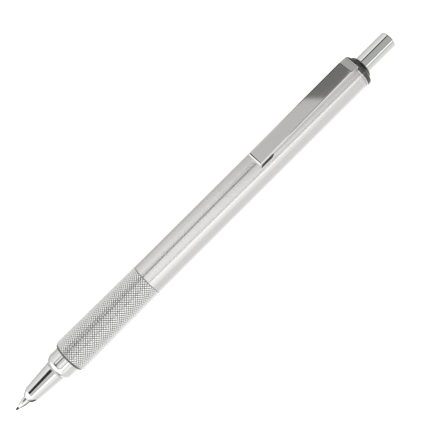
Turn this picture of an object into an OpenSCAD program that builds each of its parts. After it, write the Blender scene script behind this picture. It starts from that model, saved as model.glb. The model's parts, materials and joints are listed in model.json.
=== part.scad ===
// Push-button mechanical pencil with a knurled steel grip, in millimetres.
// The pencil lies along X: the writing point is at the origin, +X runs to the push button,
// and +Z passes through the middle of the pocket clip.

/* [Overall] */
// Length from the writing point to the end of the push button
overall_l = 137.6; // [134:0.1:142]
// Diameter of the lead that the pencil takes
lead_d = 0.7; // [0.5, 0.7]
// Lead standing out of the guide
lead_out = 1.1; // [0.5:0.1:1.8]
// Travel of the push button
push_travel = 3; // [2:0.1:3]

/* [Nose] */
// Where the nose starts behind the writing point
nose_x = 4.3; // [4:0.1:4.8]
// Diameter of the nose where its rounded tip meets its taper
nose_d = 4.6; // [4.4:0.02:4.8]
// Diameter of the nose where its taper ends
taper_d = 6.08; // [5.9:0.02:6.2]
// Where the taper ends, in front of a narrow groove
taper_x = 14.4; // [14:0.1:14.8]
// Diameter of the collar that runs into the grip
collar_d = 7.96; // [7.8:0.02:8]

/* [Grip] */
// Diameter over the crests of the knurling
grip_d = 9.75; // [9.6:0.05:10.5]
// Length of the grip
grip_l = 28.55; // [28:0.05:32]
// Chamfer at the front of the grip, along the pencil
grip_chamfer = 0.75; // [0.3:0.05:1.2]

/* [Barrel] */
// Diameter of the barrel tube
barrel_d = 9.4; // [9.2:0.1:9.6]
// Wall of the barrel tube
barrel_wall = 0.45; // [0.35:0.05:0.5]

/* [End cap and button] */
// Length of the black end cap
cap_l = 2.5; // [2.4:0.05:3.2]
// Diameter of the push button
button_d = 5; // [4.9:0.05:5.1]
// Length of the push button that shows behind the end cap
button_out = 10.2; // [9:0.1:11]
// Length of the push button that is hidden in the pencil
button_hidden = 14.3; // [12:0.1:16]

/* [Clip] */
// Thickness of the clip's sheet steel
clip_t = 0.45; // [0.35:0.05:0.5]
// Length of the clip from its lip to the end cap
clip_l = 36; // [32:0.1:40]
// Width of the clip at its lip
clip_tip_w = 4.9; // [4:0.05:5]
// Width of the clip at its root
clip_root_w = 4.46; // [3.8:0.02:4.8]
// Height of the clip's outer face over the axis, at the lip
clip_tip_z = 6.25; // [6:0.05:6.5]
// Height of the clip's outer face over the axis, at the root
clip_root_z = 6.95; // [6.7:0.05:7.3]

/* [Hidden] */
$fn = 96;

// Clearances
slip = 0.05;      // between pieces that slide or screw together
press = 0.02;     // between pieces that are pressed together
touch = 0.01;     // between pieces that only rest on each other

// Stations along X, from the front to the back
grip_x0 = 19.2;
grip_x1 = grip_x0 + grip_l;
liner_x0 = grip_x0 + 1.2;           // front face of the liner, where the nose's collar stops
nose_thread_x1 = liner_x0 + 5.8;    // back of the nose's threaded shank
liner_step_x = nose_thread_x1 + 1;  // the liner's bore narrows here
cap_x1 = overall_l - button_out;
cap_x0 = cap_x1 - cap_l;
ring_x0 = cap_x0 - clip_t;          // the clip's ring lies between the barrel and the end cap
button_x0 = cap_x1 - button_hidden;

// Lead guide and retainer
lead_r = lead_d / 2;
guide_x0 = lead_out;
guide_seat_x = nose_x + 1.5;        // the guide's flange rests here in the nose
guide_bore_r = lead_r + 0.04;
guide_mouth_r = lead_r + 0.15;
guide_shank_r = 1.15;
guide_flange_r = 1.5;
retainer_x0 = guide_seat_x + 1.1;
retainer_l = 2.4;

// Clutch: the ring holds the jaws shut, and the jaws leave it when the button is pushed
stop_x = 12.65;                     // the nose's inner shoulder, where the ring stops
ring_travel_share = 0.3;            // the ring moves this share of the push
clutch_x0 = stop_x + ring_travel_share * 3 + slip;
clutch_l = 2.6;
clutch_r = 2.2;
clutch_taper = 0.1;                 // radius lost per millimetre, in the ring and on the jaws
jaw_x0 = clutch_x0 - 0.6;
jaw_front_r = 1.65;
jaw_head_l = 3.5;
jaw_neck_r = 1.05;
jaw_root_x = jaw_x0 + 8;
jaw_slit = 0.3;
jaw_bore_r = lead_r + 0.005;
jaw_gap = 0.03;                     // between a jaw and the stem that it springs from
stem_x1 = jaw_root_x + 12;
stem_r = 1.1;
stem_bore_r = 0.45;

// Sleeve and spring behind the clutch
nose_small_bore_r = 1.9;
nose_bore_r = clutch_r + 0.15;
sleeve_x0 = clutch_x0 + clutch_l + slip;
sleeve_x1 = stem_x1 - 0.5;
sleeve_r = nose_bore_r - press - touch;
sleeve_bore_r = 1.95;
sleeve_wall = 1;
spring_x0 = sleeve_x0 + sleeve_wall + slip;
spring_wire_r = 0.15;
spring_r = 1.65;
spring_turns = 12;
flange_x0 = stem_x1 - 3.5;          // front of the connector, where the spring pushes
spring_x1 = flange_x0 - slip;

// Reservoir, eraser and button
reservoir_x0 = sleeve_x1 + push_travel + 0.5;
reservoir_x1 = cap_x1 - 1.3;
reservoir_r = 2.15;
reservoir_bore_r = 1.62;
plug_l = 5;                         // the connector's plug in the reservoir
lead_l = 50;
spare_lead_l = 60;
button_r = button_d / 2;
button_bore_r = reservoir_r + slip;
button_end_wall = 0.8;
ferrule_r = 2.1;
ferrule_plug_l = 8;
ferrule_cup_l = 4;
eraser_r = 1.6;
eraser_x1 = overall_l - button_end_wall - 1;
button_stop_x = reservoir_x1 + ferrule_cup_l + touch;   // the button pushes on the ferrule here

// Threads are drawn as rings of this pitch and depth
pitch = 0.5;
thread_depth = 0.22;
nose_thread_r = 2.95;               // root radius of each thread
barrel_thread_r = 3.3;
cap_thread_r = 2.95;

barrel_r = barrel_d / 2;
barrel_bore_r = barrel_r - barrel_wall;
grip_r = grip_d / 2;
grip_bore_r = collar_d / 2 + slip + press;
ring_r = barrel_r + 0.05;           // the clip's ring and the end cap's rim
liner_bore_r = 2.6;

// ---------- helpers ----------

// Turns a shape's Z axis onto the pencil's X axis, at station x
module along(x = 0) translate([x, 0, 0]) rotate([0, 90, 0]) children();

// Revolves an outline of [radius, station] points about the pencil's axis
module turned(outline) along() rotate_extrude() polygon(outline);

// A plain tube with radii r_out and r_in from station x0 to x1
module tube(r_out, r_in, x0, x1)
    turned([[r_in, x0], [r_out, x0], [r_out, x1], [r_in, x1]]);

// Points of an arc about [cr, cx] in an outline, from angle a0 to a1
function arc(cr, cx, r, a0, a1, n = 8) =
    [for (i = [0:n]) let (a = a0 + (a1 - a0) * i / n) [cr + r * cos(a), cx + r * sin(a)]];

// Outline of n thread rings from station x0, with their roots at radius r
function rings(r, x0, n) = concat(
    [for (i = [0:n - 1]) each [[r, x0 + i * pitch], [r + thread_depth, x0 + (i + 0.5) * pitch]]],
    [[r, x0 + n * pitch]]);

function reversed(list) = [for (i = [len(list) - 1:-1:0]) list[i]];

// How many whole thread rings fit in a length
function ring_count(l) = floor(l / pitch);

// ---------- lead ----------

// Stick of lead in use, with a worn point
module lead() color("dimgray") {
    turned([[0, 0], [lead_r * 0.5, 0], [lead_r, 0.5], [lead_r, lead_l], [0, lead_l]]);
}

// Spare lead at the bottom of the reservoir; side is -1, 0 or 1 across the pencil
module spare_lead(side) color("dimgray") {
    rest_r = reservoir_bore_r - lead_r - touch;
    step = 2 * asin((lead_r + touch) / rest_r);
    rotate([side * step, 0, 0])
        translate([lead_l + 2, 0, -rest_r])
            along() cylinder(r = lead_r, h = spare_lead_l);
}

// ---------- nose ----------

// Tapered steel guide that the lead comes out of, held in the nose by its flange
module lead_guide() color("silver") {
    cone_x1 = nose_x + 0.2;
    back_x = guide_seat_x + 1;
    turned([
        [guide_bore_r, guide_x0], [guide_mouth_r, guide_x0],
        [guide_mouth_r + 0.18, guide_x0 + 0.5], [guide_mouth_r + 0.34, guide_x0 + 1.15],
        [guide_mouth_r + 0.52, guide_x0 + 2.15],
        [guide_shank_r, cone_x1], [guide_shank_r, guide_seat_x],
        [guide_flange_r, guide_seat_x], [guide_flange_r, back_x],
        [guide_flange_r - 0.4, back_x], [guide_bore_r, back_x - 0.6]
    ]);
}

// Rubber bush that stops the lead sliding back while the jaws are open
module lead_retainer() color("black")
    tube(guide_flange_r - press, lead_r + 0.002, retainer_x0, retainer_x0 + retainer_l);

// Outside of the nose: rounded tip, long taper, groove, round shoulder and collar
function nose_outline() =
    let (tip = 6.5, shoulder = 2.25, groove_r = taper_d / 2 - 0.24)
    concat(
        arc(nose_d / 2 - tip * cos(20), nose_x + tip * sin(36), tip, -36, -20, 6),
        [[taper_d / 2, taper_x], [groove_r, taper_x + 0.03], [groove_r, taper_x + 0.17]],
        arc(collar_d / 2 - shoulder, taper_x + 0.19 + shoulder * sin(58), shoulder, -58, 0, 8),
        [[collar_d / 2, liner_x0 - touch], [nose_thread_r, liner_x0 - touch]]);

module nose_cone() color("gainsboro") {
    n = ring_count(nose_thread_x1 - liner_x0 - 0.3);
    seat_r = guide_flange_r + press;
    turned(concat(
        nose_outline(),
        rings(nose_thread_r, liner_x0 + 0.2, n),
        [[nose_thread_r, nose_thread_x1], [nose_bore_r, nose_thread_x1],
         [nose_bore_r, stop_x], [nose_small_bore_r, stop_x],
         [nose_small_bore_r, retainer_x0 + retainer_l + 0.1],
         [seat_r, retainer_x0 + retainer_l + 0.1],
         [seat_r, guide_seat_x - touch], [guide_shank_r + press, guide_seat_x - touch],
         [guide_shank_r + press, nose_x]]));
}

// ---------- clutch ----------

// Radius of the jaws' conical heads at station x, with the pencil at rest
function jaw_head_r(x) = jaw_front_r - clutch_taper * (x - jaw_x0);

// Brass ring with a taper that squeezes the jaws shut
module clutch_ring() color("goldenrod") {
    x1 = clutch_x0 + clutch_l;
    turned([
        [jaw_head_r(clutch_x0) + touch, clutch_x0], [clutch_r, clutch_x0],
        [clutch_r, x1], [jaw_head_r(x1) + touch, x1]
    ]);
}

// One of three jaws: a third of the chuck's split front, at angle a about the axis
module chuck_jaw(a) color("goldenrod") {
    head_x1 = jaw_x0 + jaw_head_l;
    rotate([a, 0, 0])
        difference() {
            along() rotate([0, 0, 120]) rotate_extrude(angle = 120) polygon([
                [jaw_bore_r, jaw_x0], [jaw_front_r - 0.25, jaw_x0],
                [jaw_head_r(jaw_x0 + 0.25), jaw_x0 + 0.25],
                [jaw_head_r(head_x1), head_x1], [jaw_neck_r, head_x1 + 0.3],
                [jaw_neck_r, jaw_root_x - jaw_gap], [jaw_bore_r, jaw_root_x - jaw_gap]
            ]);
            // half of the slit on each side of the jaw
            for (side = [-60, 60]) rotate([side, 0, 0])
                translate([jaw_x0 - 1, -jaw_slit / 2, -0.01])
                    cube([jaw_root_x - jaw_x0 + 2, jaw_slit, jaw_front_r + 1]);
        }
}

// Solid back of the chuck, pressed into the connector
module chuck_stem() color("goldenrod")
    turned([
        [jaw_bore_r, jaw_root_x], [jaw_neck_r, jaw_root_x], [stem_r, jaw_root_x + 0.5],
        [stem_r, stem_x1], [stem_bore_r, stem_x1], [stem_bore_r, jaw_root_x + 1],
        [jaw_bore_r, jaw_root_x + 0.9]
    ]);

// Sleeve between the nose and the grip's liner: stops the ring and holds the spring
module clutch_sleeve() color("lightgray") {
    flange_r = nose_thread_r - slip;
    front_wall_x = sleeve_x0 + sleeve_wall;
    turned([
        [1.3, sleeve_x0], [sleeve_r, sleeve_x0],
        [sleeve_r, nose_thread_x1 + touch], [flange_r, nose_thread_x1 + touch],
        [flange_r, liner_step_x - touch], [sleeve_r, liner_step_x - touch],
        [sleeve_r, sleeve_x1], [sleeve_bore_r, sleeve_x1],
        [sleeve_bore_r, front_wall_x], [1.3, front_wall_x]
    ]);
}

// Centre of the spring's wire after turn t; the end turns lie flat
function coil_x(t) =
    let (flat = 1, live = spring_turns - 2 * flat, wire_d = 2 * spring_wire_r * 1.02,
         rise = spring_x1 - spring_x0 - 2 * spring_wire_r - 2 * wire_d * flat)
    spring_x0 + spring_wire_r + (
        t < flat ? wire_d * t :
        t > flat + live ? wire_d * flat + rise + wire_d * (t - flat - live) :
        wire_d * flat + rise * (t - flat) / live);

// Compression spring that pulls the jaws back into the ring
module chuck_spring() color("silver") {
    sides = 6;
    per_turn = 14;
    steps = spring_turns * per_turn;
    points = [for (i = [0:steps], k = [0:sides - 1])
        let (a = 360 * i / per_turn, b = 360 * k / sides, r = spring_r + spring_wire_r * cos(b))
        [coil_x(i / per_turn) + spring_wire_r * sin(b), r * cos(a), r * sin(a)]];
    walls = [for (i = [0:steps - 1], k = [0:sides - 1])
        let (here = i * sides + k, next = i * sides + (k + 1) % sides)
        each [[here, next, next + sides], [here, next + sides, here + sides]]];
    start = [[for (k = [sides - 1:-1:0]) k]];
    end = [[for (k = [0:sides - 1]) steps * sides + k]];
    polyhedron(points, concat(walls, start, end));
}

// Plastic link from the chuck to the reservoir, with a funnel for the next lead
module chuck_connector() color("whitesmoke") {
    socket_x1 = stem_x1 + 0.5;
    x1 = reservoir_x0 + plug_l;
    turned([
        [stem_r + press, flange_x0], [sleeve_bore_r - slip, flange_x0],
        [sleeve_bore_r - slip, flange_x0 + 2.5], [1.5, flange_x0 + 2.5],
        [1.5, reservoir_x0 - 0.4], [reservoir_r, reservoir_x0 - 0.4],
        [reservoir_r, reservoir_x0 - touch], [reservoir_bore_r - press, reservoir_x0 - touch],
        [reservoir_bore_r - press, x1], [1.35, x1], [stem_bore_r, x1 - 2.5],
        [stem_bore_r, socket_x1], [stem_r + press, socket_x1]
    ]);
}

// ---------- reservoir, eraser and button ----------

module lead_reservoir() color("lightblue")
    tube(reservoir_r, reservoir_bore_r, reservoir_x0, reservoir_x1);

// Metal cup that holds the eraser and plugs the reservoir
module eraser_ferrule() color("silver") {
    x0 = reservoir_x1 - ferrule_plug_l;
    x1 = reservoir_x1 + ferrule_cup_l;
    plug_r = reservoir_bore_r - press;
    wall = 0.25;
    turned([
        [0, x0], [plug_r - 0.2, x0], [plug_r, x0 + 0.3], [plug_r, reservoir_x1 + touch],
        [ferrule_r, reservoir_x1 + touch], [ferrule_r, x1], [eraser_r + touch, x1],
        [eraser_r + touch, reservoir_x1 + 0.5], [plug_r - wall, reservoir_x1 + 0.2],
        [plug_r - wall, x0 + 1.2], [0, x0 + 1.2]
    ]);
}

module eraser() color("white") {
    x0 = reservoir_x1 + 0.6;
    edge = 0.35;
    turned(concat(
        [[0, x0], [eraser_r - 0.1, x0], [eraser_r, x0 + 0.2]],
        arc(eraser_r - edge, eraser_x1 - edge, edge, 0, 90, 6),
        [[0, eraser_x1]]));
}

// Steel cap over the eraser: it slides over the reservoir, and its step pushes on the ferrule
module push_button() color("gainsboro") {
    edge = 0.3;
    turned(concat(
        [[button_bore_r, button_x0], [button_r - 0.1, button_x0], [button_r, button_x0 + 0.2]],
        arc(button_r - edge, overall_l - edge, edge, 0, 90, 6),
        [[0, overall_l], [0, overall_l - button_end_wall],
         [eraser_r + 0.15, overall_l - button_end_wall], [eraser_r + 0.15, button_stop_x],
         [button_bore_r, button_stop_x]]));
}

// ---------- grip and barrel ----------

// Grip tube, at the radius of the knurling's crests
module grip() color("lightgray") {
    chamfer_r = 0.45;
    back = 0.2;
    turned([
        [grip_bore_r, grip_x0], [grip_r - chamfer_r, grip_x0],
        [grip_r, grip_x0 + grip_chamfer], [grip_r, grip_x1 - back],
        [grip_r - back * 0.5, grip_x1], [grip_bore_r, grip_x1]
    ]);
}

// Brass core of the grip: takes the nose's thread in front and screws into the barrel behind
module grip_liner() color("darkgoldenrod") {
    outer_r = grip_bore_r - press;
    thread_x0 = grip_x1 + 0.4;
    n_back = 14;
    x1 = thread_x0 + n_back * pitch + 0.4;
    front = rings(nose_thread_r + slip, liner_x0 + 0.2, ring_count(liner_step_x - liner_x0 - 0.3));
    turned(concat(
        [[nose_thread_r + slip, liner_x0], [outer_r, liner_x0], [outer_r, grip_x1 - touch],
         [barrel_thread_r, grip_x1 - touch]],
        rings(barrel_thread_r, thread_x0, n_back),
        [[barrel_thread_r, x1], [liner_bore_r, x1], [liner_bore_r, liner_step_x],
         [nose_thread_r + slip, liner_step_x]],
        reversed(front)));
}

module barrel() color("lightgray")
    tube(barrel_r, barrel_bore_r, grip_x1 + touch, ring_x0);

// Threaded brass bush pressed into the front of the barrel
module barrel_insert() color("darkgoldenrod") {
    thread_x0 = grip_x1 + 0.4;
    n = 18;
    x1 = thread_x0 + n * pitch + 0.3;
    r = barrel_thread_r + slip;
    turned(concat(
        [[r, grip_x1 + 0.2], [barrel_bore_r - press, grip_x1 + 0.2],
         [barrel_bore_r - press, x1], [r, x1]],
        reversed(rings(r, thread_x0, n))));
}

// Plastic bush in the back of the barrel: guides the button and carries the end cap
module rear_bushing() color("dimgray") {
    x0 = ring_x0 - 16;
    bore_r = button_r + 0.07;
    n = ring_count(cap_l - 1.1);
    turned(concat(
        [[bore_r, x0], [barrel_bore_r - press, x0], [barrel_bore_r - press, ring_x0],
         [cap_thread_r, ring_x0]],
        rings(cap_thread_r, cap_x0 + 0.1, n),
        [[cap_thread_r, cap_x0 + 0.2 + n * pitch], [bore_r, cap_x0 + 0.2 + n * pitch]]));
}

// Black cap screwed onto the bush: a round-edged rim under a smaller dome
module end_cap() color("black") {
    rim_r = ring_r;
    rim_x = cap_x0 + 1.3;
    dome_r = 3.5;
    edge = 0.5;
    inner_x = cap_x1 - 0.7;
    n = ring_count(cap_l - 1.1);
    hole_r = button_r + 0.12;
    female_r = cap_thread_r + slip;
    turned(concat(
        [[female_r, cap_x0], [rim_r, cap_x0]],
        arc(rim_r - edge, rim_x - edge, edge, 0, 80, 6),
        [[dome_r + 0.15, rim_x + 0.1]],
        arc(dome_r - 0.8, cap_x1 - 0.8, 0.8, 5, 80, 8),
        [[hole_r + 0.15, cap_x1], [hole_r, cap_x1 - 0.15], [hole_r, inner_x], [female_r, inner_x]],
        reversed(rings(female_r, cap_x0 + 0.1, n))));
}

// ---------- clip ----------

clip_x0 = cap_x0 - clip_l;          // front of the lip
pivot_z = 5.35;                     // the arm flexes here, on top of the ring's tab
clip_wall_z = barrel_r + 0.2;       // bottom edge of the arm's side walls
clip_gap_z = clip_tip_z - 0.85;     // and over the pad behind the lip
clip_mouth = 5;                     // length without side walls, so that cloth can enter

// Ring under the end cap, with the tab that carries the arm
module clip_ring() color("gainsboro")
    difference() {
        union() {
            along(ring_x0) cylinder(r = ring_r, h = clip_t);
            translate([ring_x0, -clip_root_w / 2, 0]) cube([clip_t, clip_root_w, pivot_z]);
        }
        along(ring_x0 - 1) cylinder(r = cap_thread_r + thread_depth + 0.1, h = clip_t + 2);
    }

// Side view of the arm as [x, z] points, d inside its outer face: lip, long face, fold, root bend
function clip_side(d) =
    let (knee_x = cap_x0 - 2.6, tip = 1, fold = 8, bend = 0.8, x1 = cap_x0,
         bend_x = x1 - bend + bend * sin(fold),
         bend_z = clip_root_z - (bend_x - knee_x) * tan(fold) - bend * cos(fold))
    concat(
        [[clip_x0 + d, d > 0 ? 0 : barrel_r + touch]],
        arc(clip_x0 + tip, clip_tip_z - tip - 0.02, tip - d, 180, 91, 6),
        [[knee_x, clip_root_z - d]],
        arc(x1 - bend, bend_z, bend - d, 90 - fold, 0, 8),
        [[x1 - d, d > 0 ? 0 : pivot_z + touch]]);

// Extrudes a side view of [x, z] points across the pencil
module across(outline, w) translate([0, w / 2, 0]) rotate([90, 0, 0]) linear_extrude(w) polygon(outline);

// Plan of the arm, w narrower on each side than its outline
module clip_plan(inset) {
    tip_y = clip_tip_w / 2 - inset;
    root_y = clip_root_w / 2 - inset;
    linear_extrude(10) polygon([
        [clip_x0 - 1, -tip_y], [cap_x0 + 1, -root_y], [cap_x0 + 1, root_y], [clip_x0 - 1, tip_y]
    ]);
}

// End of the lip, folded back under the arm and curved to slide on the barrel
module clip_pad() {
    x0 = clip_x0 + clip_t / 2;
    x1 = clip_x0 + clip_t + clip_mouth - 0.5;
    top_z = clip_gap_z - 0.25;
    difference() {
        intersection() {
            across([[x0, 3.5], [x1 - 1.4, 3.5], [x1, top_z], [x0, top_z]], 10);
            clip_plan(0.12);
        }
        along(x0 - 1) cylinder(r = barrel_r + touch, h = x1 - x0 + 2);
    }
}

// Spring arm: a folded channel with a lip that presses on the barrel
module clip_arm() color("gainsboro") {
    mouth_x = clip_x0 + clip_t + clip_mouth;
    lip_x = clip_x0 + clip_t;
    root_x = cap_x0 - clip_t;
    difference() {
        intersection() {
            across(clip_side(0), 10);
            clip_plan(0);
        }
        // hollow of the channel
        intersection() {
            across(clip_side(clip_t), 10);
            clip_plan(clip_t);
        }
        // side walls stop short of the barrel, and of the lip
        across([
            [lip_x, 0], [root_x, 0], [root_x, clip_wall_z], [mouth_x, clip_wall_z],
            [mouth_x - 0.6, clip_gap_z], [lip_x, clip_gap_z]
        ], 10);
        // the tab of the ring takes over here
        translate([root_x - touch, -5, 0]) cube([1, 10, pivot_z + touch]);
    }
    clip_pad();
}

lead();
spare_lead(-1);  // spare_lead_1
spare_lead(0);  // spare_lead_2
spare_lead(1);  // spare_lead_3
lead_guide();
lead_retainer();
nose_cone();
clutch_ring();
chuck_jaw(0);  // chuck_jaw_1
chuck_jaw(120);  // chuck_jaw_2
chuck_jaw(240);  // chuck_jaw_3
chuck_stem();
clutch_sleeve();
chuck_spring();
chuck_connector();
lead_reservoir();
grip();
grip_liner();
barrel();
barrel_insert();
rear_bushing();
clip_ring();
clip_arm();
end_cap();
push_button();
eraser_ferrule();
eraser();
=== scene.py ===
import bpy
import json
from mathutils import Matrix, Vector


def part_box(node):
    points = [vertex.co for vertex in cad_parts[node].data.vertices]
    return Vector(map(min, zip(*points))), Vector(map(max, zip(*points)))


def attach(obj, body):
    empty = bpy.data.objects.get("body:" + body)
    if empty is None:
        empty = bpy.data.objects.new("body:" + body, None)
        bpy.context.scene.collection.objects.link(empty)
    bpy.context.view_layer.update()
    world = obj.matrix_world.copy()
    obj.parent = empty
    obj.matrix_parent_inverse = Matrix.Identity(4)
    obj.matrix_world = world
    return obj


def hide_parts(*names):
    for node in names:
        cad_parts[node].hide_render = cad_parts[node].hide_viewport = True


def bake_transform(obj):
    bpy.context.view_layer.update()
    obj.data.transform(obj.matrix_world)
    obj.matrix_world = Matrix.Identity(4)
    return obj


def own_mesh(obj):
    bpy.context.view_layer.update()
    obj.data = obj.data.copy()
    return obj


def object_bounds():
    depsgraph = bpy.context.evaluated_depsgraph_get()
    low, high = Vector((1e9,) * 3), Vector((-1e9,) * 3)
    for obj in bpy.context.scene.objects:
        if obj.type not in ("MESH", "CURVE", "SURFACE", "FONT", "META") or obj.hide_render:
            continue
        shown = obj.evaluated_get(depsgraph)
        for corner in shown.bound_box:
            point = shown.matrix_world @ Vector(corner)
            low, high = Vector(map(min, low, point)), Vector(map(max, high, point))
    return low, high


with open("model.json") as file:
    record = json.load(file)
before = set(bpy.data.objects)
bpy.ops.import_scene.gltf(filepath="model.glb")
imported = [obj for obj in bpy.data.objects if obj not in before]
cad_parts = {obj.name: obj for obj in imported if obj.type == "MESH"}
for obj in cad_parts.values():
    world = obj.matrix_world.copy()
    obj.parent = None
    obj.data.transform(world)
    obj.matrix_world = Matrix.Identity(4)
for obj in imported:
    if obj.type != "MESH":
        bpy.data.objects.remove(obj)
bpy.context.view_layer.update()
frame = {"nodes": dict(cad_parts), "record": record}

import json
from math import atan, cos, degrees, pi, radians, sin, sqrt, tan

import bmesh
import bpy
from mathutils import Matrix, Vector

# Outlines below are in millimetres, as (station along the pencil, radius), and are
# placed from the boxes of the CAD nodes that they stand for.
MM = 0.001
RECORD = frame["record"]
COLOURS = {m["slot"]: tuple(m["base_color"][:3]) for m in RECORD["materials"]}
SLOT_OF = {s["node"]: s["material_slot"] for s in RECORD["subparts"]}
BODY_OF = {n: b for b, nodes in RECORD["behaviour"]["bodies"].items() for n in nodes}


def span(node):
    """First station, last station and outer radius of a CAD node, in millimetres."""
    low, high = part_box(node)
    return low.x / MM, high.x / MM, high.y / MM


# ---------------------------------------------------------------- outlines

def arc(x, r, radius, start, end, steps=10):
    """Points of an arc about (x, r); 0 degrees is straight out and 90 is towards +X."""
    turn = [radians(start + (end - start) * i / steps) for i in range(steps + 1)]
    return [(x + radius * sin(a), r + radius * cos(a)) for a in turn]


def rings(x, r, count, pitch=0.5, depth=0.22):
    """Screw thread, drawn as rings, from station x."""
    points = []
    for i in range(count):
        points += [(x + i * pitch, r), (x + (i + 0.5) * pitch, r + depth)]
    return points + [(x + count * pitch, r)]


def smooth(outline, edge=0.06, steps=3):
    """Rounds the corners of a closed outline and adds loops that keep its long runs straight."""
    out = []
    count = len(outline)
    for i, here in enumerate(outline):
        before, here = Vector(outline[i - 1]), Vector(here)
        after = Vector(outline[(i + 1) % count])
        a, b = before - here, after - here
        if a.length < 1e-6 or b.length < 1e-6:
            continue
        corner = a.angle(b)
        on_axis = here.y < 1e-6
        if corner > radians(150) or on_axis or min(a.length, b.length) < 0.12:
            out.append(here)
            continue
        cut = min(edge, a.length * 0.3, b.length * 0.3)
        p, q = here + a.normalized() * cut, here + b.normalized() * cut
        for k in range(steps + 1):
            t = k / steps
            out.append(p.lerp(here, t).lerp(here.lerp(q, t), t))
    full = []
    for i, here in enumerate(out):
        after = out[(i + 1) % len(out)]
        full.append(here)
        length = (after - here).length
        if length > 0.4:
            full += [here.lerp(after, 0.05 / length), after.lerp(here, 0.05 / length)]
    return [(p.x, p.y) for p in full]


# ---------------------------------------------------------------- meshes

def take_mesh(bm, name):
    """Turns finished geometry into a mesh, with all its faces looking outward."""
    bmesh.ops.recalc_face_normals(bm, faces=bm.faces)
    mesh = bpy.data.meshes.new(name)
    bm.to_mesh(mesh)
    bm.free()
    return mesh


def bridge(bm, last, ring):
    """Faces between two rings that have the same number of vertices."""
    for k in range(len(ring)):
        n = (k + 1) % len(ring)
        bm.faces.new([last[k], last[n], ring[n], ring[k]])


def finish_mesh(name, mesh, node, sharp=30, finish=None):
    """Makes the object in place of its CAD node, in the finish of the node's slot or in another."""
    mesh.shade_smooth()
    mesh.set_sharp_from_angle(angle=radians(sharp))
    piece = bpy.data.objects.new(name, mesh)
    bpy.context.scene.collection.objects.link(piece)
    mesh.materials.append(FINISH[finish or SLOT_OF[node]])
    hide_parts(node)
    return piece


def turned_mesh(name, outline, sides):
    """Closed mesh of revolution about the pencil's axis."""
    bm = bmesh.new()
    loops = []
    for x, r in outline:
        if r < 1e-6:
            loops.append([bm.verts.new((x * MM, 0, 0))] * sides)
            continue
        turn = [2 * pi * k / sides for k in range(sides)]
        loops.append([bm.verts.new((x * MM, r * MM * cos(a), r * MM * sin(a))) for a in turn])
    for a, b in zip(loops, loops[1:] + loops[:1]):
        for k in range(sides):
            corners = [a[k], a[(k + 1) % sides], b[(k + 1) % sides], b[k]]
            face = list(dict.fromkeys(corners))
            if len(face) > 2:
                bm.faces.new(face)
    return take_mesh(bm, name)


def turned(name, node, outline, sides=96, edge=0.06):
    """Turned piece in place of a CAD node, with its corners rounded by the edge."""
    piece = finish_mesh(name, turned_mesh(name, smooth(outline, edge), sides), node)
    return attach(piece, BODY_OF[node])


# ---------------------------------------------------------------- finishes

def wire(tree, kind, *inputs, **settings):
    """Adds a shader node, sets or links its inputs in order, and returns its first output."""
    made = tree.nodes.new(kind)
    for key, value in settings.items():
        setattr(made, key, value)
    for socket, value in zip(made.inputs, inputs):
        if isinstance(value, bpy.types.NodeSocket):
            tree.links.new(value, socket)
        elif value is not None:
            socket.default_value = value
    return made.outputs[0]


def surface(slot, rough, metal=0.0, grain=(900, 900, 900), rough_by=0.05, tint_by=0.04,
            bump=0.0, coat=0.0, brushed=0.0, glow_through=0.0, shade=1.0, ior=1.5):
    """Finish with a grain that varies its tint, its roughness and its height."""
    material = bpy.data.materials.new(slot)
    material.use_nodes = True
    tree = material.node_tree
    shader = tree.nodes["Principled BSDF"]
    place = tree.nodes.new("ShaderNodeTexCoord").outputs["Object"]
    mapping = tree.nodes.new("ShaderNodeMapping")
    mapping.inputs["Scale"].default_value = grain
    tree.links.new(place, mapping.inputs["Vector"])
    noise = tree.nodes.new("ShaderNodeTexNoise")
    noise.inputs["Scale"].default_value = 1.0
    noise.inputs["Detail"].default_value = 4.0
    tree.links.new(mapping.outputs["Vector"], noise.inputs["Vector"])
    height = noise.outputs["Fac"]
    spread = wire(tree, "ShaderNodeMapRange", height, 0.3, 0.7, rough - rough_by, rough + rough_by)
    tree.links.new(spread, shader.inputs["Roughness"])
    colour = [c * shade for c in COLOURS[slot]]
    tint = tree.nodes.new("ShaderNodeMix")
    tint.data_type = "RGBA"
    tree.links.new(height, tint.inputs["Factor"])
    tint.inputs["A"].default_value = tuple(c * (1 - tint_by) for c in colour) + (1,)
    tint.inputs["B"].default_value = tuple(min(1, c * (1 + tint_by)) for c in colour) + (1,)
    tree.links.new(tint.outputs["Result"], shader.inputs["Base Color"])
    shader.inputs["Metallic"].default_value = metal
    shader.inputs["Coat Weight"].default_value = coat
    shader.inputs["Coat Roughness"].default_value = 0.04
    shader.inputs["IOR"].default_value = ior
    shader.inputs["Transmission Weight"].default_value = glow_through
    if bump:
        lift = tree.nodes.new("ShaderNodeBump")
        lift.inputs["Strength"].default_value = 1.0
        lift.inputs["Distance"].default_value = bump * MM
        tree.links.new(height, lift.inputs["Height"])
        tree.links.new(lift.outputs["Normal"], shader.inputs["Normal"])
    if brushed:
        round_axis = tree.nodes.new("ShaderNodeTangent")
        round_axis.direction_type = "RADIAL"
        round_axis.axis = "X"
        tree.links.new(round_axis.outputs["Tangent"], shader.inputs["Tangent"])
        shader.inputs["Anisotropic"].default_value = brushed
        shader.inputs["Anisotropic Rotation"].default_value = 0.25
    return material


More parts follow.
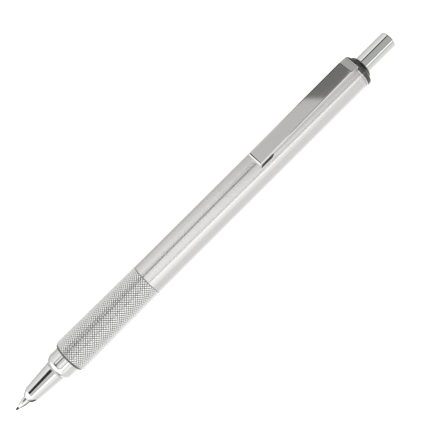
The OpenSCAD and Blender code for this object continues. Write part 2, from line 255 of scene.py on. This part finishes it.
def paint_groove_shade(material, taper, low, high):
    """Painted shade: the tint falls to a dark grey between the radii high and low, in the bottom of the
    knurl, and is painted lighter over the crests.
    """
    tree = material.node_tree
    shader = tree.nodes["Principled BSDF"]
    place = tree.nodes.new("ShaderNodeTexCoord").outputs["Object"]
    parts = tree.nodes.new("ShaderNodeSeparateXYZ")
    tree.links.new(place, parts.inputs[0])
    across = wire(tree, "ShaderNodeCombineXYZ", 0.0, parts.outputs["Y"], parts.outputs["Z"])
    length = tree.nodes.new("ShaderNodeVectorMath")
    length.operation = "LENGTH"
    tree.links.new(across, length.inputs[0])
    radius = wire(tree, "ShaderNodeMath", parts.outputs["X"], taper, length.outputs["Value"],
                  operation="MULTIPLY_ADD")
    # painted shade in the grooves (0.15) and a painted lighter tint over the crests (1.25)
    share = wire(tree, "ShaderNodeMapRange", radius, low * MM, high * MM, 0.15, 1.25)
    scale = tree.nodes.new("ShaderNodeVectorMath")
    scale.operation = "SCALE"
    old = shader.inputs["Base Color"].links[0].from_socket
    tree.links.new(old, scale.inputs[0])
    tree.links.new(share, scale.inputs["Scale"])
    tree.links.new(scale.outputs["Vector"], shader.inputs["Base Color"])


RINGS = (6000, 50, 50)      # fine turning marks round the pencil
LENGTHS = (40, 5000, 5000)  # fine marks along the pencil
FINISH = {
    "graphite": surface("graphite", 0.45, metal=0.3, grain=(3000, 3000, 3000), tint_by=0.3, bump=0.004),
    "polished_steel": surface("polished_steel", 0.06, metal=1, grain=RINGS, rough_by=0.01, tint_by=0.02),
    "knurled_steel": surface("knurled_steel", 0.2, metal=0.8, grain=(4000, 4000, 4000), tint_by=0.05,
                             bump=0.002),
    "brushed_steel": surface("brushed_steel", 0.22, metal=1, grain=RINGS, rough_by=0.06, tint_by=0.04,
                             bump=0.0008, brushed=0.5),
    "clip_steel": surface("clip_steel", 0.035, metal=1, grain=LENGTHS, rough_by=0.01, tint_by=0.03),
    # near-black painted shade for the clip's pad: it stands for the dark gap under the clip's mouth
    "pad_painted_shade": surface("clip_steel", 0.5, metal=0.3, grain=(3000, 3000, 3000), tint_by=0.2,
                             shade=0.05),
    "button_steel": surface("button_steel", 0.04, metal=1, grain=RINGS, rough_by=0.01, tint_by=0.03),
    "spring_steel": surface("spring_steel", 0.25, metal=1, grain=(2500, 2500, 2500)),
    "ferrule_metal": surface("ferrule_metal", 0.25, metal=1, grain=RINGS, bump=0.0008),
    "clutch_brass": surface("clutch_brass", 0.24, metal=1, grain=RINGS, tint_by=0.08, bump=0.001),
    "core_brass": surface("core_brass", 0.3, metal=1, grain=RINGS, tint_by=0.1, bump=0.001),
    "black_gloss": surface("black_gloss", 0.07, grain=(1500, 1500, 1500), rough_by=0.02, tint_by=0.2,
                           ior=2.0, shade=0.4),
    "black_plastic": surface("black_plastic", 0.5, grain=(2500, 2500, 2500), tint_by=0.2, bump=0.003),
    "grey_plastic": surface("grey_plastic", 0.45, grain=(2500, 2500, 2500), bump=0.003),
    "white_plastic": surface("white_plastic", 0.4, grain=(2500, 2500, 2500), bump=0.002),
    "reservoir_plastic": surface("reservoir_plastic", 0.2, grain=(900, 900, 900), glow_through=0.5),
    "black_rubber": surface("black_rubber", 0.7, grain=(3000, 3000, 3000), tint_by=0.2, bump=0.005),
    "white_eraser": surface("white_eraser", 0.8, grain=(2500, 2500, 2500), tint_by=0.05, bump=0.01),
}

# ---------------------------------------------------------------- nose, guide and lead

nose_x0, nose_x1, collar_r = span("nose_cone")
guide_x0, guide_x1, flange_r = span("lead_guide")
lead_x0, lead_x1, lead_r = span("lead")
liner_x0 = span("grip_liner")[0]
grip_x0, grip_x1, grip_r = span("grip")

TAPER_X = nose_x0 + 10.1
TAPER_R = 3.04
nose = arc(nose_x0 + 6.5 * sin(radians(36)), 2.3 - 6.5 * cos(radians(20)), 6.5, -36, -20, 12)
nose += [(TAPER_X, TAPER_R), (TAPER_X + 0.03, TAPER_R - 0.24), (TAPER_X + 0.17, TAPER_R - 0.24)]
nose += arc(TAPER_X + 0.19 + 2.25 * sin(radians(58)), collar_r - 2.25, 2.25, -58, 0, 14)
nose += [(liner_x0 - 0.01, collar_r), (liner_x0 - 0.01, 2.95)]
nose += rings(liner_x0 + 0.2, 2.95, 11)
nose += [(nose_x1, 2.95), (nose_x1, 2.35), (nose_x0 + 8.35, 2.35), (nose_x0 + 8.35, 1.9)]
nose += [(nose_x0 + 5.1, 1.9), (nose_x0 + 5.1, 1.52), (guide_x1 - 1.01, 1.52)]
nose += [(guide_x1 - 1.01, 1.17), (nose_x0, 1.17)]
turned("nose", "nose_cone", nose, 128, edge=0.05)

taper_l = nose_x0 + 0.2 - guide_x0
guide = [(guide_x0, lead_r + 0.04)]
guide += [(guide_x0 + taper_l * q / 12, 1.15 - 0.65 * (1 - q / 12) ** 1.8) for q in range(13)]
guide += [(guide_x1 - 1, 1.15), (guide_x1 - 1, flange_r), (guide_x1, flange_r)]
guide += [(guide_x1, flange_r - 0.4), (guide_x1 - 0.6, lead_r + 0.04)]
turned("tapered_guide", "lead_guide", guide, 72, edge=0.03)

lead = [(lead_x0, 0), (lead_x0, lead_r * 0.45), (lead_x0 + 0.5, lead_r), (lead_x1, lead_r), (lead_x1, 0)]
turned("lead_in_use", "lead", lead, 32, edge=0.04)

# ---------------------------------------------------------------- knurled grip

GRIP_BORE = 4.05
FRONT_EXTRA = 0.075                       # how far the front crests stand over the CAD's radius
GRIP_TAPER = 0.15 / (grip_x1 - grip_x0)   # loss of radius per millimetre towards the back
KNURL_DEPTH = 0.2
STARTS = 38
CREST_STEPS = ((0.76, 0.03), (0.64, 0.0))  # (share of the diamond's reach, depth below its crest)


def knurled_grip():
    """Tube whose outside is cut by two sets of crossing helical grooves into raised diamonds."""
    rows = round((grip_x1 - grip_x0) / (2 * pi * grip_r / STARTS)) * 2
    half_x = (grip_x1 - grip_x0) / rows
    half_a = pi / STARTS
    bm = bmesh.new()

    def crest(x):
        """Radius over the crests: the grip narrows slightly to the back."""
        return grip_r + FRONT_EXTRA - GRIP_TAPER * (x - grip_x0)

    def vertex(x, turn, drop):
        """Point at a depth below the crests, or lower where the end chamfers are."""
        x = min(max(x, grip_x0), grip_x1)
        r = crest(x) + min(-drop, (x - grip_x0) * 0.6 - 0.45, (grip_x1 - x) * 0.5 - 0.1)
        return bm.verts.new((x * MM, r * MM * cos(turn), r * MM * sin(turn)))

    corners = {}

    def corner(row, column):
        key = (row, column % (2 * STARTS))
        if key not in corners:
            corners[key] = vertex(grip_x0 + row * half_x, key[1] * half_a, KNURL_DEPTH)
        return corners[key]

    for row in range(rows + 1):
        for column in range(row % 2, 2 * STARTS, 2):
            x, turn = grip_x0 + row * half_x, column * half_a
            around = [corner(row - 1, column), corner(row, column + 1),
                      corner(row + 1, column), corner(row, column - 1)]
            last = around
            for reach, drop in CREST_STEPS:
                ring = [vertex(x - reach * half_x, turn, drop),
                        vertex(x, turn + reach * half_a, drop),
                        vertex(x + reach * half_x, turn, drop),
                        vertex(x, turn - reach * half_a, drop)]
                bridge(bm, last, ring)
                last = ring
            bm.faces.new(last)
    bmesh.ops.dissolve_degenerate(bm, dist=1e-7, edges=bm.edges)
    front_r, back_r = crest(grip_x0) - KNURL_DEPTH - 0.03, crest(grip_x1) - KNURL_DEPTH - 0.03
    core = [(grip_x0, GRIP_BORE), (grip_x0, front_r - 0.25), (grip_x0 + 0.4, front_r)]
    core += [(grip_x1 - 0.1, back_r), (grip_x1, back_r), (grip_x1, GRIP_BORE)]
    bm.from_mesh(turned_mesh("core", smooth(core), 96))
    piece = finish_mesh("knurled_grip", take_mesh(bm, "knurled_grip"), "grip", sharp=12)
    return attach(piece, BODY_OF["grip"])


knurled_grip()
# radius of the front crests, carried on to the writing point along the grip's taper
front_crest = grip_r + FRONT_EXTRA + GRIP_TAPER * grip_x0
# paint shade into the knurl's grooves and a lighter tint onto its crests
paint_groove_shade(FINISH["knurled_steel"], GRIP_TAPER, front_crest - KNURL_DEPTH, front_crest - 0.05)

# ---------------------------------------------------------------- barrel, cap and button

barrel_x0, barrel_x1, barrel_r = span("barrel")
cap_x0, cap_x1, rim_r = span("end_cap")
button_x0, button_x1, button_r = span("push_button")
ferrule_x0, ferrule_x1, ferrule_r = span("eraser_ferrule")
eraser_x0, eraser_x1, eraser_r = span("eraser")
tube_x0, tube_x1, tube_r = span("lead_reservoir")

BARREL_BORE = 4.25
seam_x, seam_r = barrel_x1 - 0.14, barrel_r - 0.28   # narrow groove before the clip's ring
barrel = [(barrel_x0, BARREL_BORE), (barrel_x0, barrel_r), (seam_x, barrel_r), (seam_x, seam_r)]
barrel += [(barrel_x1, seam_r), (barrel_x1, BARREL_BORE)]
turned("barrel_tube", "barrel", barrel, 160, edge=0.1)

HOLE_R = button_r + 0.12
cap = [(cap_x0, 3.0), (cap_x0, rim_r)]
cap += arc(cap_x0 + 0.8, rim_r - 0.5, 0.5, 0, 80, 8)
cap += [(cap_x0 + 1.4, 3.65)]
cap += arc(cap_x1 - 0.8, 2.7, 0.8, 5, 80, 10)
cap += [(cap_x1, HOLE_R + 0.15), (cap_x1 - 0.15, HOLE_R), (cap_x1 - 0.7, HOLE_R), (cap_x1 - 0.7, 3.0)]
cap += rings(cap_x0 + 0.1, 3.0, 2)[::-1]
turned("black_end_cap", "end_cap", cap, 128, edge=0.05)

STEP_X = ferrule_x1 + 0.01
button = [(button_x0, 2.2), (button_x0, button_r - 0.1), (button_x0 + 0.2, button_r)]
button += [(button_x1 - 0.3, button_r)] + arc(button_x1 - 0.3, button_r - 0.3, 0.3, 10, 90, 8)
button += [(button_x1, button_r - 0.75), (button_x1 - 0.12, button_r - 1.1), (button_x1 - 0.16, 0)]
button += [(button_x1 - 0.8, 0), (button_x1 - 0.8, 1.75), (STEP_X, 1.75), (STEP_X, 2.2)]
turned("steel_push_button", "push_button", button, 96, edge=0.04)

eraser = [(eraser_x0, 0), (eraser_x0, eraser_r - 0.1), (eraser_x0 + 0.2, eraser_r)]
eraser += arc(eraser_x1 - 0.35, eraser_r - 0.35, 0.35, 0, 90, 6) + [(eraser_x1, 0)]
turned("white_eraser_stick", "eraser", eraser, 48)

PLUG_R = eraser_r   # the ferrule's plug in the reservoir is as thick as the eraser
ferrule = [(ferrule_x0, 0), (ferrule_x0, PLUG_R - 0.2), (ferrule_x0 + 0.3, PLUG_R)]
ferrule += [(tube_x1 + 0.01, PLUG_R), (tube_x1 + 0.01, ferrule_r), (ferrule_x1, ferrule_r)]
ferrule += [(ferrule_x1, eraser_r + 0.01), (tube_x1 + 0.5, eraser_r + 0.01)]
ferrule += [(tube_x1 + 0.2, PLUG_R - 0.25), (ferrule_x0 + 1.2, PLUG_R - 0.25), (ferrule_x0 + 1.2, 0)]
turned("eraser_holder", "eraser_ferrule", ferrule, 64, edge=0.04)

tube = [(tube_x0, 1.62), (tube_x0, tube_r), (tube_x1, tube_r), (tube_x1, 1.62)]
turned("reservoir_tube", "lead_reservoir", tube, 64)

# ---------------------------------------------------------------- spring

def coil_spring():
    """Round wire wound from the first end turn to the last, both of them closed."""
    x0, x1, outer = span("chuck_spring")
    wire_r, turns, per_turn, sides = 0.15, 12, 28, 10
    mean = outer - wire_r
    closed = 2.04 * wire_r
    rise = (x1 - x0) - 2 * wire_r - 2 * closed

    def station(t):
        """Place along the pencil of the wire's middle after t turns."""
        if t < 1:
            return x0 + wire_r + closed * t
        if t > turns - 1:
            return x0 + wire_r + closed + rise + closed * (t - turns + 1)
        return x0 + wire_r + closed + rise * (t - 1) / (turns - 2)

    bm = bmesh.new()
    last = None
    for i in range(turns * per_turn + 1):
        a = 2 * pi * i / per_turn
        ring = []
        for k in range(sides):
            b = 2 * pi * k / sides
            r = mean + wire_r * cos(b)
            x = station(i / per_turn) + wire_r * sin(b)
            ring.append(bm.verts.new((x * MM, r * MM * cos(a), r * MM * sin(a))))
        if last:
            bridge(bm, last, ring)
        else:
            bm.faces.new(ring)
        last = ring
    bm.faces.new(last)
    piece = finish_mesh("clutch_spring", take_mesh(bm, "clutch_spring"), "chuck_spring")
    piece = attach(piece, BODY_OF["chuck_spring"])
    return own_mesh(piece)


coil_spring()

# ---------------------------------------------------------------- clip

def pad_mesh(x0, x1, half):
    """End of the lip, folded back under the arm and curved to slide on the barrel."""
    top_z = barrel_r + 0.45
    toe_x, toe_l = x1 - 0.8, 0.8   # the last stretch thins to an edge
    bm = bmesh.new()
    last = None
    steps = 16
    for x in (x0, x0 + 0.5, toe_x, x1 - 0.55, x1 - 0.3, x1 - 0.04):
        lift = max(0, x - toe_x) / toe_l
        ring = []
        for k in range(steps + 1):
            y = half * (2 * k / steps - 1)
            under = sqrt((barrel_r + 0.01) ** 2 - y * y)
            ring.append(bm.verts.new((x * MM, y * MM, (under + (top_z - 0.03 - under) * lift) * MM)))
        for y in (half, half - 0.04, 0.04 - half, -half):
            ring.append(bm.verts.new((x * MM, y * MM, top_z * MM)))
        if last:
            bridge(bm, last, ring)
        else:
            bm.faces.new(ring)
        last = ring
    bm.faces.new(last)
    return take_mesh(bm, "pad")


def clip():
    """One folded strip: ring, root bend, channel with side walls, mouth, lip and pad."""
    ring_x0, ring_x1, ring_r = span("clip_ring")
    low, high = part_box("clip_arm")
    x0, x1 = low.x / MM, high.x / MM
    lip_half, root_half = high.y / MM, high.y / MM * 0.91
    top_z = high.z / MM
    foot_z = barrel_r + 0.01
    lip_z = top_z - 0.7
    wall_z = barrel_r + 0.2
    thick = ring_x1 - ring_x0
    knee_x = x1 - 2.6

    # side view of the outer face: (x, z, direction of its normal in degrees from +Z towards +X)
    bend = 1.0   # radius of the bend at the lip
    rows = [(x0, foot_z, -90), (x0, lip_z - bend - 0.05, -90)]
    rise = degrees(atan((top_z - lip_z) / (knee_x - x0 - bend)))   # slope of the arm
    for i in range(9):
        a = -90 + (90 - rise) * i / 8
        rows.append((x0 + bend + bend * sin(radians(a)), lip_z - bend + bend * cos(radians(a)), a))
    start = rows[-1]
    mouth_x = x0 + thick + 5.0   # from here to the root the strip has side walls
    fall = 8.0                   # slope from the knee down to the root
    stations = [start[0] + 0.05, mouth_x - 0.75, mouth_x - 0.7, mouth_x, mouth_x + 0.05]
    stations += [mouth_x + (knee_x - mouth_x) * i / 8 for i in range(1, 8)] + [knee_x - 0.5]
    for x in stations:
        rows.append((x, start[1] + (x - start[0]) * tan(radians(rise)), -rise))
    knee_z = start[1] + (knee_x - 0.3 - start[0]) * tan(radians(rise))
    for i in range(5):
        a = -rise + (rise + fall) * i / 4
        rows.append((knee_x - 0.3 + 0.6 * i / 4, knee_z + 0.01 * (i * (4 - i)) / 4, a))
    bend = 0.8   # radius of the bend at the root
    turn_x = x1 - bend
    last_z = rows[-1][1]
    slope = tan(radians(fall))
    turn_z = last_z - (turn_x + bend * sin(radians(fall)) - rows[-1][0]) * slope
    rows.append((rows[-1][0] + 0.1, last_z - 0.1 * slope, fall))
    rows.append((turn_x - 0.05, turn_z + 0.05 * slope + bend * sin(radians(fall)) * slope, fall))
    for i in range(9):
        a = fall + (90 - fall) * i / 8
        centre_z = turn_z - bend * cos(radians(fall))
        rows.append((turn_x + bend * sin(radians(a)), centre_z + bend * cos(radians(a)), a))
    rows.append((x1, ring_r + 0.4, 90))
    rows.append((x1, ring_r - 0.12, 90))

    corner_r, steps = 0.35, 5
    bm = bmesh.new()
    last = None
    for x, z, a in rows:
        share = min(max((x - x0) / (x1 - x0), 0), 1)
        half = lip_half + (root_half - lip_half) * share
        depth = thick
        if x >= mouth_x - 0.01 and x < turn_x - 0.2:
            depth = z - wall_z
        elif mouth_x - 0.72 < x < mouth_x:
            depth = thick + 0.05
        outward = Vector((sin(radians(a)), 0, cos(radians(a))))
        foot = Vector((x, 0, z))

        def at(y, down):
            """Vertex at a distance aside and at a depth below the outer face."""
            return bm.verts.new(((foot - outward * down) + Vector((0, y, 0))) * MM)

        outer, inner = [], []
        for side in (-1, 1):
            turn = [radians(90 * k / steps) for k in range(steps + 1)]
            edge_out = [(side * half, depth), (side * half, corner_r + 0.04)]
            edge_out += [(side * (half - corner_r * (1 - cos(t))), corner_r * (1 - sin(t))) for t in turn]
            in_half = half - thick
            edge_in = [(side * in_half, depth), (side * in_half, min(depth, thick + 0.02))]
            edge_in += [(side * in_half, min(depth, thick))] * (steps + 1)
            edge_out.append((side * (half - corner_r - 0.04), 0))
            edge_in.append((side * (in_half - 0.04), min(depth, thick)))
            if side > 0:
                edge_out.reverse()
                edge_in.reverse()
            outer += edge_out
            inner += edge_in
        ring = [at(y, d) for y, d in outer] + [at(y, d) for y, d in reversed(inner)]
        if last:
            bridge(bm, last, ring)
        else:
            first = ring
        last = ring
    half_count = len(last) // 2
    for ring in (first, last):
        for k in range(half_count - 1):
            bm.faces.new([ring[k], ring[k + 1], ring[-k - 2], ring[-k - 1]])
    bmesh.ops.remove_doubles(bm, verts=bm.verts, dist=0.003 * MM)
    bmesh.ops.dissolve_degenerate(bm, dist=0.002 * MM, edges=bm.edges)
    plate = [(ring_x0, 3.27), (ring_x0, ring_r), (ring_x1, ring_r), (ring_x1, 3.27)]
    bm.from_mesh(turned_mesh("ring", smooth(plate, 0.1), 128))
    mesh = take_mesh(bm, "folded_clip")
    # the pad carries the near-black painted shade of the gap under the clip's mouth
    pad = pad_mesh(x0 + thick / 2, mouth_x - 0.5, lip_half - 0.12)
    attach(finish_mesh("clip_pad", pad, "clip_arm", finish="pad_painted_shade"), BODY_OF["clip_arm"])
    piece = finish_mesh("folded_clip", mesh, "clip_arm", sharp=35)
    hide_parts("clip_ring")
    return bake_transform(piece)


clip()

# ---------------------------------------------------------------- carried-over nodes

for name, part in frame["nodes"].items():
    if not part.hide_render:
        part.data.materials.clear()
        part.data.materials.append(FINISH[SLOT_OF[name]])

# ---------------------------------------------------------------- camera

LOW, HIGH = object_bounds()
length = HIGH.x - LOW.x
TURN = radians(23.5)     # the clip stands this far round from the camera
LEAN = radians(44.85)    # slope of the pencil in the picture
FOOT = 0.48              # the camera stands over this share of the length
AIM = 0.5277             # and looks at this share of it
AWAY = 1.5625            # its distance from the axis, in lengths
SHIFT = 0.0025           # the aim lies this share of the length beside the axis
along = Vector((1, 0, 0))
facing = Vector((0, -sin(TURN), cos(TURN)))
aside = Vector((0, cos(TURN), sin(TURN)))
tilt = atan((AIM - FOOT) / AWAY)
back = facing * cos(tilt) - along * sin(tilt)
level = along * cos(tilt) + facing * sin(tilt)
right = level * cos(LEAN) - aside * sin(LEAN)
up = level * sin(LEAN) + aside * cos(LEAN)
aim = Vector((LOW.x + AIM * length, 0, 0)) - aside * SHIFT * length
camera = bpy.data.objects.new("camera", bpy.data.cameras.new("camera"))
bpy.context.scene.collection.objects.link(camera)
camera.data.sensor_width = 36
camera.data.lens = 68.6
camera.data.clip_start = 0.01
basis = Matrix((right, up, back)).transposed().to_4x4()
camera.matrix_world = Matrix.Translation(aim + back * AWAY * length / cos(tilt)) @ basis
bpy.context.scene.camera = camera

# ---------------------------------------------------------------- studio

# brightness round the pencil's axis, at angles in degrees from the camera
AROUND = [(-180, 1.0), (-150, 1.1), (-133, 1.2), (-117, 0.78), (-97, 0.79), (-81, 0.84), (-65, 0.95),
          (-51, 1.05), (-42, 1.15), (0, 1.3), (46, 1.05), (60, 0.95), (90, 0.78), (113, 0.74), (150, 0.8),
          (180, 1.0)]


def studio():
    """Pale surroundings with the panel edges and dark gaps that the polished steel reflects."""
    world = bpy.data.worlds.new("studio")
    bpy.context.scene.world = world
    world.use_nodes = True
    tree = world.node_tree
    way = tree.nodes.new("ShaderNodeTexCoord").outputs["Generated"]

    def dot(axis):
        made = tree.nodes.new("ShaderNodeVectorMath")
        made.operation = "DOT_PRODUCT"
        made.inputs[1].default_value = axis
        tree.links.new(way, made.inputs[0])
        return made.outputs["Value"]

    def maths(operation, *values):
        return wire(tree, "ShaderNodeMath", *values, operation=operation)

    def fade(value, low, high, at_low=0.0, at_high=1.0):
        return wire(tree, "ShaderNodeMapRange", value, low, high, at_low, at_high)

    def mix(share, a, b):
        return wire(tree, "ShaderNodeMix", share, None, a, b)

    def between(value, low, high, soft):
        """1 between two angles and 0 outside them, with soft borders."""
        return maths("MULTIPLY", fade(value, low - soft, low + soft),
                     fade(value, high - soft, high + soft, 1.0, 0.0))

    def past(value, slope, start):
        """Turn beyond a line that starts at an angle and leans with the value."""
        return maths("SUBTRACT", turn, maths("MULTIPLY_ADD", value, slope, start))

    # All angles are in degrees. Turn goes round the pencil's axis from the camera, and lean
    # goes from straight across the pencil (0) towards its button (90) or its point (-90).
    turn = maths("DEGREES", maths("ARCTAN2", dot(aside), dot(facing)))
    lean = maths("DEGREES", maths("ARCSINE", dot(along)))

    ramp = tree.nodes.new("ShaderNodeValToRGB")
    ramp.color_ramp.interpolation = "LINEAR"
    points = ramp.color_ramp.elements
    while len(points) < len(AROUND):
        points.new(0.5)
    for point, (degrees_round, brightness) in zip(points, AROUND):
        point.position = (degrees_round + 180) / 360
        point.color = (brightness / 2,) * 3 + (1,)
    tree.links.new(fade(turn, -180, 180), ramp.inputs[0])
    around = maths("MULTIPLY", ramp.outputs["Color"], 2.0)

    # bright band below a thin dark line, both of them slanting
    line_at = maths("MULTIPLY_ADD", maths("MAXIMUM", lean, 0.0), -0.46, -26.0)
    line_at = maths("MULTIPLY_ADD", maths("MINIMUM", lean, 0.0), -0.6, line_at)
    past_line = maths("SUBTRACT", turn, line_at)
    behind = fade(lean, 15.6, 16.1)   # seen by the button only
    low_side = maths("MULTIPLY", behind, fade(turn, -55, -45, 1.0, 0.0))
    bright = mix(between(past_line, -14, 0, 2.0), mix(low_side, around, 0.62), 1.3)
    # panel over the camera, darker beyond both ends
    panel = maths("MULTIPLY", fade(turn, -26, 5, 0.88, 1.08), fade(lean, -22, -17, 0.6, 1.0))
    covered = between(lean, 7.1, 13.5, 0.3)   # seen by the barrel beside the clip
    panel = mix(maths("MULTIPLY", covered, fade(turn, -10, -6)), panel, 0.5)
    over_nose = maths("MULTIPLY", between(lean, -19, -9, 1.0), fade(turn, 3, 9))
    panel = mix(over_nose, panel, 0.72)
    panel = mix(behind, panel, 0.46)
    # dark gap at its far edge, then the next panel
    past_gap = past(lean, 0.45, 30.5)
    far_edge = past(lean, 0.1, 45.5)
    strength = mix(fade(past_line, -0.5, 0.5), bright, panel)
    strength = mix(fade(past_gap, 3, 4), strength, 0.85)
    strength = mix(fade(far_edge, -0.5, 0.5), strength, around)
    width = mix(behind, 7.0, 14.0)
    past_end = mix(fade(lean, -22, -19), maths("SUBTRACT", far_edge, 6.0),
                   maths("SUBTRACT", past_gap, width))
    gap = maths("MULTIPLY", fade(past_gap, -0.7, 0.7), fade(past_end, -0.7, 0.7, 1.0, 0.0))
    gap = maths("MULTIPLY", gap, fade(lean, -38, -32))
    strength = mix(gap, strength, 0.03)
    strength = mix(fade(maths("ABSOLUTE", past_line), 1.3, 2.1, 1.0, 0.0), strength, 0.08)
    from_second = maths("ABSOLUTE", past(lean, 0.46, -36.0))
    second = maths("MULTIPLY", fade(from_second, 0.9, 1.7, 1.0, 0.0), between(lean, -30, -10, 1.0))
    strength = mix(second, strength, 0.35)

    # dark bands towards the back, for the rounded cap and the button's end
    back_band = maths("ADD", between(lean, 20, 27, 1.0), between(lean, 40, 62, 2.0))
    strength = mix(back_band, strength, 0.08)

    # what the flat face of the clip reflects: it changes along the clip
    slant = maths("SUBTRACT", lean, maths("MULTIPLY_ADD", turn, -0.9, 52.77))
    dark = maths("MULTIPLY", fade(slant, -0.15, 0.15), fade(turn, 46.95, 47.1))
    face = mix(dark, 0.6, mix(fade(turn, 48.5, 48.9), 0.19, 0.02))
    face = mix(fade(lean, 16.3, 17.5), face, 0.45)
    past_lip = past(maths("MULTIPLY", lean, lean), 0.0057, 48.4)
    lip = maths("MULTIPLY", between(past_lip, -2.2, 2.2, 0.4), between(lean, -38, -5, 1.0))
    strength = mix(lip, mix(fade(lean, -44, -41), 1.25, strength), 0.08)
    dip = maths("MULTIPLY", covered, between(turn, 8, 43, 1.0))
    strength = mix(dip, strength, 0.25)
    beside_button = maths("SUBTRACT", 1.0, between(lean, 15.7, 19, 0.2))
    narrow = maths("MULTIPLY", between(turn, 45.6, 49.5, 0.3), beside_button)
    narrow = maths("MULTIPLY", narrow, fade(lean, 3.0, 3.9))
    strength = mix(narrow, strength, face)
    wide = maths("MULTIPLY", fade(lean, 6.8, 7.4), fade(lean, 60, 62, 1.0, 0.0))
    wide = maths("MULTIPLY", wide, maths("MULTIPLY", beside_button, between(turn, 43, 62, 0.4)))
    strength = mix(wide, strength, face)
    edge = maths("MULTIPLY", between(lean, 9.3, 15.5, 0.3), between(turn, 60, 130, 2.0))
    strength = mix(edge, strength, 0.03)

    # only reflections see these panels; the camera sees an even pale background
    rays = tree.nodes.new("ShaderNodeLightPath")
    strength = mix(rays.outputs["Is Camera Ray"], strength, 1.0)
    background = tree.nodes["Background"]
    background.inputs["Color"].default_value = (1, 1, 1, 1)
    tree.links.new(strength, background.inputs["Strength"])


studio()

# ---------------------------------------------------------------- floor

floor_mesh = bpy.data.meshes.new("floor")
reach = 12 * length
corners = ((-reach, -reach), (reach, -reach), (reach, reach), (-reach, reach))
floor_mesh.from_pydata([(x, y, LOW.z) for x, y in corners], [], [(0, 1, 2, 3)])
floor = bpy.data.objects.new("floor", floor_mesh)
bpy.context.scene.collection.objects.link(floor)


def paper():
    """White paper; the steel's reflections see it in painted light and shade, a little darker than the
    camera sees it, so that the steel's edges show.
    """
    material = bpy.data.materials.new("floor")
    material.use_nodes = True
    tree = material.node_tree
    shader = tree.nodes["Principled BSDF"]
    shader.inputs["Base Color"].default_value = (0.85, 0.85, 0.85, 1)
    shader.inputs["Roughness"].default_value = 0.9
    shader.inputs["Specular IOR Level"].default_value = 0.0
    shader.inputs["Emission Color"].default_value = (1, 1, 1, 1)
    shader.inputs["Emission Strength"].default_value = 0.8
    place = tree.nodes.new("ShaderNodeNewGeometry").outputs["Position"]
    parts = tree.nodes.new("ShaderNodeSeparateXYZ")
    tree.links.new(place, parts.inputs[0])
    # places in metres: painted light next to the pencil, a painted dark spot below its point, and the
    # pencil's painted shadow on the side of the clip
    level = wire(tree, "ShaderNodeMapRange", parts.outputs["Y"], -0.009, -0.006, 0.8, 1.05)
    painted_dark_spot_x = wire(tree, "ShaderNodeMapRange", parts.outputs["X"], 0.001, 0.003, 1.0, 0.0)
    painted_dark_spot_y = wire(tree, "ShaderNodeMapRange", parts.outputs["Y"], -0.011, -0.009, 0.0, 1.0)
    painted_dark_spot = wire(tree, "ShaderNodeMath", painted_dark_spot_x, painted_dark_spot_y, operation="MULTIPLY")
    level = wire(tree, "ShaderNodeMix", painted_dark_spot, None, level, 0.06)
    painted_shadow_side = wire(tree, "ShaderNodeMapRange", parts.outputs["Y"], 0.0, 0.001, 0.0, 1.0)
    level = wire(tree, "ShaderNodeMix", painted_shadow_side, None, level, 0.6)
    seen = tree.nodes.new("ShaderNodeEmission")
    tree.links.new(level, seen.inputs["Strength"])
    either = tree.nodes.new("ShaderNodeMixShader")
    rays = tree.nodes.new("ShaderNodeLightPath")
    tree.links.new(rays.outputs["Is Glossy Ray"], either.inputs["Fac"])
    tree.links.new(shader.outputs["BSDF"], either.inputs[1])
    tree.links.new(seen.outputs["Emission"], either.inputs[2])
    tree.links.new(either.outputs["Shader"], tree.nodes["Material Output"].inputs["Surface"])
    return material


floor_mesh.materials.append(paper())

bpy.context.scene.view_settings.view_transform = "Standard"
bpy.context.scene.view_settings.look = "None"
